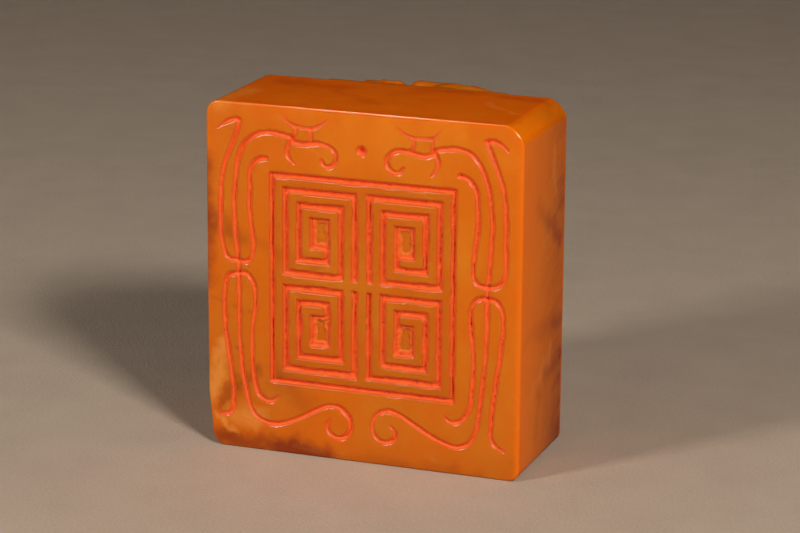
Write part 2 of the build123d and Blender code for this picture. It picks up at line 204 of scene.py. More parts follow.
class Finish:
    """A material under way: its Principled shader and the wires that feed it."""

    def __init__(self, name):
        self.material = bpy.data.materials.new(name)
        self.material.use_nodes = True
        tree = self.material.node_tree
        self.shader = tree.nodes["Principled BSDF"]
        self.wire = Wire(tree)
        self.place = self.wire.node("TexCoord", output="Object")
        self.spot = self.vector("SCALE", self.place, Scale=1 / MM)
        self.x, self.y, self.z = (self.wire.node("SeparateXYZ", None, {0: self.spot}, axis) for axis in "XYZ")

    def vector(self, operation, first, second=(0, 0, 0), output="Vector", **sockets):
        """One Vector Math node."""
        return self.wire.node("VectorMath", {"operation": operation},
                              {0: first, 1: second, **sockets}, output)

    def ragged(self, size, push):
        """Place in millimetres, pushed about so that soft shapes get ragged outlines."""
        stir = self.wire.node("TexNoise", None, {
            "Vector": self.spot, "Scale": 1 / size, "Detail": 3.0, "Roughness": 0.6}, "Color")
        moved = self.wire.node("VectorMath", {"operation": "MULTIPLY_ADD"}, {
            0: stir, 1: (push,) * 3, 2: self.spot}, "Vector")
        return self.vector("SUBTRACT", moved, (push / 2,) * 3)

    def noise(self, size, detail=2.0, stretch=(1, 1, 1), shift=(0, 0, 0), turn=(0, 0, 0),
              roughness=0.5, distortion=0.0):
        """Noise with blots of about a size in millimetres, longer where stretched."""
        moved = self.wire.node("Mapping", {"vector_type": "TEXTURE"}, {
            "Vector": self.spot, "Location": shift, "Rotation": [math.radians(angle) for angle in turn],
            "Scale": [size * factor for factor in stretch]})
        return self.wire.node("TexNoise", None, {
            "Vector": moved, "Scale": 1.0, "Detail": detail, "Roughness": roughness,
            "Distortion": distortion})

    def streak(self, place, start, end, width):
        """Soft streak between two places in millimetres: 1 in its middle, 0 beyond its width."""
        along = Vector(end) - Vector(start)
        length = along.length
        way = tuple(along / length)
        offset = self.vector("SUBTRACT", place, tuple(start))
        walked = self.vector("DOT_PRODUCT", offset, way, "Value")
        held = self.wire.node("Clamp", None, {"Value": walked, "Min": 0.0, "Max": length})
        far = self.vector("DISTANCE", offset, self.vector("SCALE", way, Scale=held), "Value")
        return 1 - far.ramp(0.0, width)

    def noted(self, name):
        """Value that a piece's own attribute of that name gives."""
        return self.wire.node("Attribute", {"attribute_name": name}, None, "Fac")

    def feed(self, sockets):
        """Gives sockets of the Principled shader their values or wires."""
        for socket, value in sockets.items():
            if isinstance(value, Wire):
                self.wire.tree.links.new(value.socket, self.shader.inputs[socket])
            else:
                self.shader.inputs[socket].default_value = value

    def bump(self, height, depth, strength=1.0):
        """Bump of a height wire, its full depth in millimetres."""
        normal = self.wire.node("Bump", None, {
            "Height": height, "Distance": depth * MM, "Strength": strength})
        self.feed({"Normal": normal})


class CutPlan:
    """Plan of the cutting, read from the layers of paste that lie on its floors."""
    REACH = 1.0
    WALL_LEAN = 0.5

    def __init__(self, names):
        places, walls, lids, self.owners = [], [], [], []
        for name in names:
            low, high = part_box(name)
            middle = (low.y + high.y) / 2
            first = len(places)
            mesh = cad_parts[name].data
            for corner in mesh.vertices:
                reach = math.copysign(self.REACH, corner.co.y - middle)
                places.append(Vector((corner.co.x / MM, reach, corner.co.z / MM)))
            for face in mesh.polygons:
                corners = [first + index for index in face.vertices]
                if abs(face.normal.y) < self.WALL_LEAN:
                    walls.append(corners)
                    self.owners.append(name)
                elif face.normal.y < 0:
                    lids.append(corners)
        self.walls = BVHTree.FromPolygons(places, walls)
        self.lids = BVHTree.FromPolygons(places, lids)
        self.depths = {name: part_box(name)[1].y / MM - FACE_Y for name in names}

    def inside(self, x, z):
        """How far a place lies inside the nearest cut, below zero outside, and that cut's node."""
        start = Vector((x, -2 * self.REACH, z))
        place, normal, index, distance = self.walls.find_nearest(Vector((x, 0, z)))
        within = self.lids.ray_cast(start, Vector((0, 1, 0)))[0] is not None
        return (distance if within else -distance), self.owners[index]


def eased(value, low, high):
    """Smooth step from 0 at low to 1 at high."""
    share = min(1.0, max(0.0, (value - low) / (high - low)))
    return share * share * (3 - 2 * share)


def hand_noise(x, z, per_mm, layer):
    """Unevenness of the hand at a place on the face, in so many waves to the millimetre."""
    return noise.noise(Vector((x * per_mm, layer, z * per_mm)))


class CutSurface:
    """The cut stone as a height field: wavering walls, rounded lines and a tooled field floor."""
    # Millimetres over which the hand strays and the cuts swell, and how round walls and lines are cut
    STRAY_SIZE, SWELL_SIZE = 2.1, 3.3
    WALL_ROUND, LINE_ROUND = 1.6, 0.9
    # Without a seed the stray would change with the clock
    STRAY_SEED = 1

    def __init__(self, settings):
        noise.seed_set(self.STRAY_SEED)
        self.plan = CutPlan(PASTE_NODES)
        self.settings = settings

    def plan_at(self, x, z):
        """How far a place lies inside a cut as the hand made it, and that cut's node."""
        start = Vector((x / self.STRAY_SIZE, 0, z / self.STRAY_SIZE))
        stray = noise.noise_vector(start) * self.settings.waver
        inside, owner = self.plan.inside(x + stray.x, z + stray.z)
        swell = hand_noise(x, z, 1 / self.SWELL_SIZE, 9.0) * self.settings.swell
        in_field = owner.startswith(FIELD_PREFIX)
        narrowing = self.settings.field_narrowing if in_field else self.settings.narrowing
        return inside + swell - narrowing, owner

    def depth(self, x, z, inside, owner):
        """Depth below the face at a place that lies so far inside a cut, its worn shoulder with it."""
        settings = self.settings
        reach = inside + settings.shoulder
        if reach <= 0:
            return reach * settings.rim_slope
        worn = settings.shoulder_drop * min(1.0, reach / settings.shoulder) ** 2
        if inside <= 0:
            return worn
        depth = self.plan.depths[owner] - settings.shoulder_drop
        if owner.startswith(FIELD_PREFIX):
            depth *= settings.field_share
            lean = min(1.0, inside / settings.wall_run)
            marks = hand_noise(x, z, 1.7, 2.0) + 0.5 * hand_noise(x, z, 4, 5)
            wall = 1 - (1 - lean) ** self.WALL_ROUND
            return worn + depth * wall + marks * settings.tool_mark * lean
        fall = min(1.0, inside / settings.half_line)
        return worn + depth * settings.line_share * fall ** self.LINE_ROUND


def face_grid(low, high, margin, cell):
    """Even grid in the plane of the seal face round a box, its points on whole cells."""
    first_x, first_z = math.floor((low.x - margin) / cell), math.floor((low.z - margin) / cell)
    count_x = math.ceil((high.x + margin) / cell) - first_x
    count_z = math.ceil((high.z + margin) / cell) - first_z
    grid = bmesh.new()
    bmesh.ops.create_grid(grid, x_segments=count_x, y_segments=count_z, size=0.5)
    placed = (Matrix.Translation(((first_x + count_x / 2) * cell, FACE_Y, (first_z + count_z / 2) * cell))
              @ Matrix.Diagonal((count_x * cell, 1, count_z * cell, 1))
              @ Matrix.Rotation(math.pi / 2, 4, "X"))
    bmesh.ops.transform(grid, matrix=placed, verts=grid.verts)
    return grid


def keep_faces(grid, wanted):
    """Keeps the faces round the wanted points, and none that touch at a corner alone."""
    kept = {face for point in wanted for face in point.link_faces}
    changed = True
    while changed:
        changed = False
        for point in grid.verts:
            around = [face for face in point.link_faces if face in kept]
            if len(around) == 2 and not set(around[0].edges) & set(around[1].edges):
                kept.update(point.link_faces)
                changed = True
    bmesh.ops.delete(grid, geom=[face for face in grid.faces if face not in kept], context="FACES")


def close_behind(grid, move):
    """Closes a sheet with a moved copy of itself and walls round its border."""
    made = bmesh.ops.extrude_face_region(grid, geom=grid.faces[:], use_keep_orig=True)
    for point in [item for item in made["geom"] if isinstance(item, bmesh.types.BMVert)]:
        point.co = move(point.co)
    bmesh.ops.recalc_face_normals(grid, faces=grid.faces)


def linked(data, name):
    """New object in the scene of a mesh, a curve, a light or a camera."""
    piece = bpy.data.objects.new(name, data)
    bpy.context.scene.collection.objects.link(piece)
    return piece


def drawn(shape, name):
    """New object of a shape in millimetres, which it frees."""
    mesh = bpy.data.meshes.new(name)
    shape.to_mesh(mesh)
    shape.free()
    return linked(mesh, name)


def in_metres(piece):
    """The piece with its millimetres made metres, at the origin."""
    piece.data.transform(Matrix.Scale(MM, 4))
    return piece


def whole(shape):
    """All that a shape is made of."""
    return shape.verts[:] + shape.edges[:] + shape.faces[:]


def open_edges(shape):
    """The edges round the holes of a shape."""
    return [edge for edge in shape.edges if edge.is_boundary]


def evaluated(piece):
    """New mesh of a piece as its modifiers or its curve make it."""
    return bpy.data.meshes.new_from_object(piece.evaluated_get(bpy.context.evaluated_depsgraph_get()))


def modified(piece, kind, **settings):
    """Applies one modifier to a piece."""
    modifier = piece.modifiers.new(kind, kind)
    for name, value in settings.items():
        setattr(modifier, name, value)
    mesh = evaluated(piece)
    piece.modifiers.clear()
    piece.data = mesh


def boolean(piece, other, operation):
    """Cuts or joins another closed piece and removes it."""
    modified(piece, "BOOLEAN", operation=operation, solver="MANIFOLD", object=other)
    bpy.data.objects.remove(other)


# The cutter's margin round the cuts in cells, and its rise over the face in millimetres
CUTTER_MARGIN = 1.5
CUTTER_RISE = 1.0


def cutter_piece(surface, cell):
    """Closed tool that leaves the cut surface in the face when it is taken away."""
    margin = CUTTER_MARGIN * cell + surface.settings.shoulder
    grid = face_grid(LOW, HIGH, 0, cell)
    wanted = []
    for point in grid.verts:
        inside, owner = surface.plan_at(point.co.x, point.co.z)
        point.co.y = FACE_Y + surface.depth(point.co.x, point.co.z, inside, owner)
        if inside > -margin:
            wanted.append(point)
    keep_faces(grid, wanted)
    close_behind(grid, lambda place: Vector((place.x, FACE_Y - CUTTER_RISE, place.z)))
    return drawn(grid, "cutter")


# Corners of the block seen from the face: right, top, radius in millimetres, fullness of the round
CORNERS = [(False, True, 1.6, 0.5), (True, True, 2.3, 0.4), (False, False, 1.5, 0.5), (True, False, 1.4, 0.5)]
FOOT_WEAR_SHARE = 0.16
CORNER_SEGMENTS, RIM_SEGMENTS = 10, 6
SAME_PLACE = 0.001


def round_off(shape, edges, radius, segments, profile=0.5):
    """Rounds edges of a shape."""
    bmesh.ops.bevel(shape, geom=edges, offset=radius, segments=segments, affect="EDGES",
                    profile=profile, material=-1)


def block_piece(settings):
    """The stone block with its worn corners and eased rims, in millimetres."""
    block = bmesh.new()
    bmesh.ops.create_cube(block, size=1.0)
    middle = Vector((0, (FACE_Y + BACK_Y) / 2, MIDDLE_Z))
    bmesh.ops.transform(block, verts=block.verts, matrix=Matrix.Translation(middle)
                        @ Matrix.Diagonal((WIDTH, BACK_Y - FACE_Y, HEIGHT, 1)))
    foot = HEIGHT * FOOT_WEAR_SHARE
    bmesh.ops.bisect_plane(block, geom=whole(block), dist=1e-5, plane_co=(LOW.x, 0, LOW.z + foot),
                           plane_no=Vector((-foot, 0, -settings.foot_wear)).normalized(), clear_outer=True)
    bmesh.ops.holes_fill(block, edges=open_edges(block), sides=0)
    for is_right, is_top, radius, profile in CORNERS:
        level = HIGH.z if is_top else LOW.z
        corners = [edge for edge in block.edges
                   if abs(edge.verts[0].co.y - edge.verts[1].co.y) > SAME_PLACE
                   and all((point.co.x > 0) == is_right for point in edge.verts)
                   and all(abs(point.co.z - level) < SAME_PLACE for point in edge.verts)]
        round_off(block, corners, radius, CORNER_SEGMENTS, profile)
    for side, radius in ((BACK_Y, settings.back_rim), (FACE_Y, settings.face_rim)):
        rim = [edge for edge in block.edges
               if all(abs(point.co.y - side) < SAME_PLACE for point in edge.verts)]
        round_off(block, rim, radius, RIM_SEGMENTS)
    return drawn(block, "block")


# The coiled body from tail tip to shoulder: turn about the knob's middle, share of the full radius
COIL_EXPONENT = 4.0
BODY_RADIUS = 5.1
BODY_RISE = 3.6
COIL_SHARES = [
    (0.276, 0.25), (0.291, 0.36), (0.314, 0.45), (0.338, 0.52), (0.362, 0.58), (0.40, 0.63),
    (0.45, 0.66), (0.50, 0.68), (0.56, 0.72), (0.61, 0.79), (0.645, 0.86), (0.68, 0.92),
    (0.72, 0.97), (0.77, 1.0), (0.815, 0.98), (0.85, 0.96), (0.89, 0.94), (0.94, 0.92),
    (1.0, 0.91), (1.055, 0.92), (1.10, 0.95), (1.135, 0.98), (1.175, 1.0), (1.215, 1.0),
]

# Strands of the knob, each in rows of (across share, up share, rise share, radius in millimetres)
PAIRED_STRANDS = {
    "brow": [(0.04, -0.07, 0.90, 0.5), (0.14, -0.03, 0.95, 0.75), (0.24, 0.05, 0.88, 0.7),
             (0.31, 0.15, 0.78, 0.5), (0.27, 0.23, 0.76, 0.25)],
    "lower lid": [(0.07, -0.11, 0.84, 0.3), (0.14, -0.14, 0.82, 0.36), (0.22, -0.07, 0.76, 0.25)],
    "upper lip": [(0.2, 0.02, 0.5, 0.45), (0.225, -0.14, 0.5, 0.7), (0.2, -0.3, 0.52, 0.75),
                  (0.11, -0.41, 0.56, 0.7), (0.0, -0.44, 0.58, 0.65)],
    "lower lip": [(0.19, -0.08, 0.34, 0.5), (0.17, -0.3, 0.34, 0.6), (0.0, -0.42, 0.34, 0.6)],
    "fang": [(0.15, -0.37, 0.52, 0.36), (0.155, -0.39, 0.44, 0.28), (0.15, -0.4, 0.36, 0.12)],
    "whisker": [(0.15, -0.36, 0.64, 0.45), (0.25, -0.44, 0.6, 0.5), (0.36, -0.38, 0.6, 0.45),
                (0.38, -0.22, 0.6, 0.4), (0.32, -0.14, 0.6, 0.3), (0.27, -0.2, 0.6, 0.15)],
    "cheek lock": [(0.2, 0.02, 0.62, 0.9), (0.3, 0.0, 0.62, 0.8), (0.36, 0.1, 0.6, 0.6),
                   (0.34, 0.2, 0.58, 0.3)],
    "beard": [(0.08, -0.36, 0.36, 0.6), (0.11, -0.47, 0.34, 0.6), (0.08, -0.56, 0.34, 0.4),
              (0.12, -0.63, 0.34, 0.15)],
}
SINGLE_STRANDS = {
    "nose bridge": [(0.0, -0.05, 0.9, 0.8), (0.0, -0.18, 0.8, 0.75), (0.0, -0.3, 0.76, 0.95)],
    "middle beard": [(0.0, -0.4, 0.36, 0.7), (-0.01, -0.53, 0.36, 0.6), (0.01, -0.66, 0.38, 0.2)],
    "mane middle": [(0.0, 0.14, 0.95, 0.8), (0.02, 0.3, 0.9, 1.0), (0.06, 0.45, 0.86, 0.8),
                    (0.14, 0.55, 0.82, 0.5), (0.2, 0.54, 0.8, 0.2)],
    "mane right": [(0.1, 0.16, 0.92, 0.8), (0.16, 0.32, 0.82, 0.9), (0.22, 0.46, 0.76, 0.7),
                   (0.31, 0.54, 0.72, 0.45), (0.38, 0.52, 0.7, 0.2)],
    "mane far right": [(0.2, 0.14, 0.84, 0.75), (0.27, 0.28, 0.7, 0.8), (0.34, 0.38, 0.62, 0.55),
                       (0.42, 0.4, 0.6, 0.25)],
    "mane left": [(-0.1, 0.16, 0.92, 0.8), (-0.13, 0.32, 0.82, 0.9), (-0.11, 0.46, 0.76, 0.75),
                  (-0.03, 0.58, 0.74, 0.5), (0.04, 0.6, 0.74, 0.2)],
    "mane far left": [(-0.19, 0.14, 0.84, 0.75), (-0.23, 0.29, 0.68, 0.85), (-0.2, 0.42, 0.6, 0.7),
                      (-0.12, 0.52, 0.56, 0.3)],
    "tail lock": [(-0.45, 0.84, 0.36, 1.0), (-0.33, 0.76, 0.38, 0.9), (-0.2, 0.74, 0.36, 0.7),
                  (-0.12, 0.8, 0.34, 0.45), (-0.16, 0.86, 0.34, 0.2)],
    "shoulder flame": [(0.66, 0.62, 0.6, 1.2), (0.78, 0.48, 0.62, 1.0), (0.8, 0.3, 0.6, 0.7),
                       (0.72, 0.2, 0.6, 0.3)],
    "shoulder lock": [(0.5, 0.6, 0.66, 1.1), (0.6, 0.44, 0.66, 0.9), (0.6, 0.28, 0.62, 0.6),
                      (0.52, 0.2, 0.56, 0.25)],
    "hip flame": [(-0.66, -0.62, 0.6, 1.2), (-0.78, -0.46, 0.58, 0.9), (-0.8, -0.28, 0.5, 0.6),
                  (-0.74, -0.16, 0.46, 0.3)],
}
# Eye, pupil and nostril, each a row of the same kind
BALLS = [(0.135, -0.085, 0.8, 1.25), (0.14, -0.1, 0.88, 0.42), (0.105, -0.38, 0.66, 1.05)]
FORE_PAW_SHARES = (0.3, -0.36, 0.45)
HIND_PAW_SHARES = (-0.49, 0.16, 0.36)
TOE_SPREAD_SHARE = 0.085

# One toe from its root to its claw: spread, way and rise as shares, and radius in millimetres
TOE_SHARES = [(1.0, 0.0, 0.0, 1.0), (1.0, 0.07, 0.02, 1.05), (1.45, 0.14, -0.05, 0.85),
              (1.45, 0.19, -0.13, 0.5), (1.45, 0.22, -0.22, 0.15)]

# Fins of the spine in millimetres: their step, their size and how it grows with the body's radius
FIN_STEP, FIN_SIZE, FIN_GROWTH_SHARE, FIN_TIP_SHARE = 1.9, 0.3, 0.14, 0.1
FIN_STRETCH = (1.35, 0.8, 1, 1)

# How far from the block's back the knob's solid is cut off and how deep it is rooted, in millimetres
KNOB_CUT, KNOB_ROOT = 0.05, 1.2

# Scales: reach and step of one as shares, shares of the body's radius between which they fade in and
# out, and in millimetres their foot, their distance from the spine and the step of the search
SCALE_REACH_SHARE, SCALE_STEP_SHARE = 0.72, 0.35
COAT_SHARES = (0.8, 0.92, 1.04, 1.12)
COAT_FOOT, COAT_SPINE, COAT_STEP = (2.9, 3.9), (0.9, 1.5), 0.3

# Spirals and lines drawn into the knob from behind: middle across and up, radius in mm, turns, start
SPIRALS = [
    (-0.56, -0.6, 3.4, 1.6, 0.1), (0.62, 0.66, 3.4, 1.6, 0.6), (-0.4, 0.48, 2.2, 1.4, 0.3),
    (0.27, -0.02, 1.3, 1.2, 0.5), (-0.27, -0.02, 1.3, 1.2, 0.0),
    (0.14, -0.62, 1.9, 1.5, 0.2), (-0.16, -0.63, 1.9, 1.5, 0.3),
    (0.9, 0.93, 1.5, 1.3, 0.1), (-0.9, 0.93, 1.5, 1.3, 0.4),
    (0.9, -0.93, 1.5, 1.3, 0.9), (-0.9, -0.93, 1.5, 1.3, 0.6),
]
CURL_WIDTH, CURL_DEPTH = 0.5, 0.35
CURL_STEPS, CURL_CORE_SHARE = 60, 0.2
FACES_BACK = 0.2


def knob_place(across_share, up_share, rise_share):
    """Place on the knob from shares of its half width, half height and rise."""
    return Vector((across_share * KNOB_HALF_WIDTH, BACK_Y + rise_share * KNOB_RISE,
                   MIDDLE_Z + up_share * KNOB_HALF_HEIGHT))


def coil_place(turn, radius):
    """Centre of the coiled body, which keeps its outer side on one squared oval."""
    angle = 2 * math.pi * turn
    across = math.cos(angle) / (KNOB_HALF_WIDTH - radius)
    up = math.sin(angle) / (KNOB_HALF_HEIGHT - radius)
    reach = (abs(across) ** COIL_EXPONENT + abs(up) ** COIL_EXPONENT) ** (-1 / COIL_EXPONENT)
    return Vector((reach * math.cos(angle), BACK_Y + BODY_RISE, MIDDLE_Z + reach * math.sin(angle)))


def even_path(points, radii, step):
    """Places along a row of points every step, each with its radius and its distance from the start."""
    path = []
    walked, due = 0.0, 0.0
    for first, last, first_radius, last_radius in zip(points, points[1:], radii, radii[1:]):
        length = (last - first).length
        while due <= walked + length:
            share = (due - walked) / length
            path.append((first.lerp(last, share), first_radius + (last_radius - first_radius) * share, due))
            due += step
        walked += length
    return path


def body_path(step):
    """The coiled body's centre line, from the tail tip to the shoulder."""
    fine = 8
    points, radii = [], []
    for (turn, share), (next_turn, next_share) in zip(COIL_SHARES, COIL_SHARES[1:]):
        for part in range(fine):
            radius = BODY_RADIUS * (share + (next_share - share) * part / fine)
            points.append(coil_place(turn + (next_turn - turn) * part / fine, radius))
            radii.append(radius)
    return even_path(points, radii, step)


def add_strand(carving, row):
    """Adds a tapering round strand along a smooth curve through its rows of places and radii."""
    curve = bpy.data.curves.new("strand", "CURVE")
    curve.dimensions = "3D"
    curve.bevel_depth = 1.0
    curve.bevel_resolution = 2
    curve.use_fill_caps = True
    spline = curve.splines.new("NURBS")
    spline.points.add(len(row) - 1)
    for point, (across, up, rise, radius) in zip(spline.points, row):
        point.co = (*knob_place(across, up, rise), 1.0)
        point.radius = radius
    spline.order_u = 3
    spline.use_endpoint_u = True
    spline.resolution_u = 6
    piece = linked(curve, "strand")
    mesh = evaluated(piece)
    carving.from_mesh(mesh)
    bpy.data.objects.remove(piece)
    bpy.data.curves.remove(curve)
    bpy.data.meshes.remove(mesh)


def add_paw(carving, centre, way):
    """Adds three clawed toes that point up or down from the middle of a paw."""
    across, up, rise = centre
    for toe in (-1, 0, 1):
        add_strand(carving, [
            (across + spread * toe * TOE_SPREAD_SHARE, up + ahead * way, rise + lift, radius)
            for spread, ahead, lift, radius in TOE_SHARES])


def add_spine(carving):
    """Adds the row of fins along the middle of the coiled body's back."""
    for place, radius, walked in body_path(FIN_STEP):
        size = FIN_SIZE + FIN_GROWTH_SHARE * radius
        top = place + Vector((0, radius, 0))
        turn = Matrix.Rotation(math.atan2(place.x, place.z - MIDDLE_Z), 4, "Y")
        bmesh.ops.create_cone(carving, cap_ends=True, segments=8, radius1=size,
                              radius2=FIN_TIP_SHARE * size, depth=2 * size,
                              matrix=Matrix.Translation(top) @ turn
                              @ Matrix.Rotation(-math.pi / 2, 4, "X") @ Matrix.Diagonal(FIN_STRETCH))


def carving_base():
    """The solid's knob, rooted a little in the block, as one closed mesh in millimetres."""
    base = bmesh.new()
    base.from_mesh(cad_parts[STONE_NODE].data)
    bmesh.ops.remove_doubles(base, verts=base.verts, dist=1e-7)
    bmesh.ops.transform(base, matrix=Matrix.Scale(1 / MM, 4), verts=base.verts)
    bmesh.ops.bisect_plane(base, geom=whole(base), dist=1e-5, plane_co=(0, BACK_Y + KNOB_CUT, 0),
                           plane_no=(0, 1, 0), clear_inner=True)
    made = bmesh.ops.extrude_edge_only(base, edges=open_edges(base))
    for point in made["geom"]:
        if isinstance(point, bmesh.types.BMVert):
            point.co.y = BACK_Y - KNOB_ROOT
    bmesh.ops.holes_fill(base, edges=open_edges(base), sides=0)
    bmesh.ops.recalc_face_normals(base, faces=base.faces)
    return base


def scale_height(along, around):
    """Height from 0 to 1 on a coat of round scales, in scale lengths along and around."""
    best = 0.0
    for row in (math.floor(along), math.floor(along) + 1):
        shift = 0.5 * (row % 2)
        column = round(around - shift) + shift
        far = math.hypot(along - row, around - column)
        if far < SCALE_REACH_SHARE and row > along:
            best = 1 - (1 - SCALE_STEP_SHARE) * (far / SCALE_REACH_SHARE) ** 2
        elif far < SCALE_REACH_SHARE:
            best = max(best, 0.5 * (1 - far))
    return best


def coat_with_scales(carving, settings):
    """Raises overlapping scales on the coiled body."""
    inner, full, fading, outer = COAT_SHARES
    path = body_path(COAT_STEP)
    tree = KDTree(len(path))
    for index, (place, radius, walked) in enumerate(path):
        tree.insert(place, index)
    tree.balance()
    for point in carving.verts:
        place, index, distance = tree.find(point.co)
        centre, radius, walked = path[index]
        reach = distance / radius
        if not inner < reach < outer or point.co.y < BACK_Y + COAT_FOOT[0]:
            continue
        outward = Vector((centre.x, 0, centre.z - MIDDLE_Z)).normalized()
        away = point.co - centre
        around = math.atan2(away.dot(outward), away.y) * radius
        height = scale_height(walked / settings.scale_size, around / settings.scale_size) - 0.5
        fade = eased(reach, inner, full) * (1 - eased(reach, fading, outer))
        fade *= eased(point.co.y - BACK_Y, *COAT_FOOT) * eased(abs(around), *COAT_SPINE)
        point.co += point.normal * height * settings.scale_height * fade


def draw_into(carving, spirals):
    """Cuts thin spiral lines into what faces backwards."""
    tree = KDTree(sum(int(CURL_STEPS * turns) + 1 for *rest, turns, start in spirals))
    for across, up, radius, turns, start in spirals:
        middle = knob_place(across, up, 0)
        steps = int(CURL_STEPS * turns)
        for step in range(steps + 1):
            angle = 2 * math.pi * (start + turns * step / steps)
            reach = radius * (1 - (1 - CURL_CORE_SHARE) * step / steps)
            place = Vector((middle.x + reach * math.cos(angle), 0, middle.z + reach * math.sin(angle)))
            tree.insert(place, 0)
    tree.balance()
    for point in carving.verts:
        if point.normal.y > FACES_BACK:
            place, index, distance = tree.find((point.co.x, 0, point.co.z))
            if distance < CURL_WIDTH:
                point.co -= point.normal * CURL_DEPTH * math.cos(distance / CURL_WIDTH * math.pi / 2) ** 2


def knob_piece(settings):
    """The carved knob: the solid's forms with the dragon's features, scales and drawn curls."""
    carving = carving_base()
    for row in PAIRED_STRANDS.values():
        add_strand(carving, row)
        add_strand(carving, [(-across, *rest) for across, *rest in row])
    for row in SINGLE_STRANDS.values():
        add_strand(carving, row)
    for side in (1, -1):
        for across, up, rise, radius in BALLS:
            place = Matrix.Translation(knob_place(side * across, up, rise))
            bmesh.ops.create_icosphere(carving, subdivisions=2, radius=radius, matrix=place)
        across, up, rise = FORE_PAW_SHARES
        add_paw(carving, (side * across, up, rise), -1)
    add_paw(carving, HIND_PAW_SHARES, 1)
    add_spine(carving)
    piece = drawn(carving, "knob")
    modified(piece, "REMESH", mode="VOXEL", voxel_size=settings.voxel)
    carving = bmesh.new()
    carving.from_mesh(piece.data)
    for step in range(settings.smooth_rounds):
        bmesh.ops.smooth_vert(carving, verts=carving.verts, factor=0.5,
                              use_axis_x=True, use_axis_y=True, use_axis_z=True)
    carving.normal_update()
    coat_with_scales(carving, settings)
    carving.normal_update()
    draw_into(carving, SPIRALS)
    for point in carving.verts:
        point.co.y = min(point.co.y, HIGH.y)
    carving.to_mesh(piece.data)
    carving.free()
    modified(piece, "DECIMATE", ratio=settings.kept_share)
    return piece


# Planes under the stone's skin in which its streaks lie: the axis across them and its place there
STREAK_PLANES = {"face": (1, FACE_Y + 0.05), "right": (0, HIGH.x), "top": (2, HIGH.z - 0.2)}

# Streaks by their plane: both ends and half width in millimetres, and strength
DARK_STREAKS = {
    "right": [(-9, 32, 0, 26.5, 2.0, 0.42), (0, 34, 2, 28, 3.0, 0.1), (-12.8, 17, 0.6, 16.1, 1.9, 0.34),
              (-5.1, 10.7, 1.5, 11.8, 1.8, 0.3), (-7.4, 10.4, -8.3, 4, 1.3, 0.3),
              (-14.5, 2, -8, 1, 1.5, 0.1)],
    "top": [(-7.2, -4.4, -0.3, -9.5, 1.5, 0.3), (-15, -1.5, -8, -2.4, 3.0, 0.4), (2, 0.5, 9, 0.3, 1.8, 0.4),
            (12.5, 0, 17.5, -0.4, 1.6, 0.35)],
    "face": [(-20, 29.5, -16, 26.5, 2.2, 0.3), (-17, 27, -6, 24, 1.7, 0.16), (-20, 21, -20, 36, 1.9, 0.6),
             (-18.6, 1.2, -8, 0.2, 2.1, 0.62), (-9.5, 0.8, -5, 0.6, 2.6, 0.7),
             (-8, -0.3, 15, -0.4, 2.3, 0.27), (-17.9, 5.6, -16.3, 9.4, 1.3, 0.4),
             (-16, 7.2, -13.8, 10.5, 1.2, 0.45), (-19.5, 18.6, -14, 17.7, 0.6, 0.25),
             (-15.7, 12.4, -15.5, 12.6, 0.5, 0.5),
             (-1, 26.3, -0.9, 26.2, 0.7, 0.35), (-11, 9.5, -7, 6.5, 2.4, 0.25)],
}
PALE_STREAKS = {
    "right": [(-14.2, 7.4, -2.9, 13.4, 1.2, 0.22), (-3, 38, -2.4, 33, 1.3, 0.2)],
    "top": [(11.5, -3.6, 16.3, -8.2, 0.8, 0.3), (16.3, -8.2, 19, -9, 0.8, 0.2),
            (-18.5, -14, -17, -8, 2.6, 0.4)],
    "face": [(-17.9, 13, -19.6, 6.5, 1.6, 0.52), (-18.6, 4, -16.8, 2.2, 0.9, 0.5),
             (-16.5, 4.6, -13.3, 3.7, 1.9, 0.4)],
}
FIELD_EASE = 0.5
# Reach in millimetres of the painted light along the top-right chamfer
CORNER_BAND = 1.85

# Colours that the finishes mix in: painted glow on the right side and the top, painted light on the chamfer
# band, stained stone, and for the paste its own colours with painted shade in the depth and painted light at
# the rim
PAINTED_SIDE_GLOW, PAINTED_TOP_GLOW = screen_colour(240, 112, 2), screen_colour(252, 92, 0)
PAINTED_BAND_LIGHT, STAINED = screen_colour(242, 120, 6), screen_colour(238, 74, 30)
PASTE_GRAIN_AND_DEPTH_SHADE, PASTE_RIM_PAINTED_LIGHT = screen_colour(210, 44, 10), screen_colour(250, 100, 28)
PASTE_SPECK, PASTE_THIN = screen_colour(124, 36, 34), screen_colour(226, 104, 24)


def add_streaks(finish, wire, ragged, streaks):
    """Adds the streaks in every plane to a wire."""
    for plane, rows in streaks.items():
        axis, level = STREAK_PLANES[plane]
        for *ends, width, strength in rows:
            start, end = ends[:2], ends[2:]
            start.insert(axis, level)
            end.insert(axis, level)
            wire = wire + finish.streak(ragged, start, end, width) * strength
    return wire


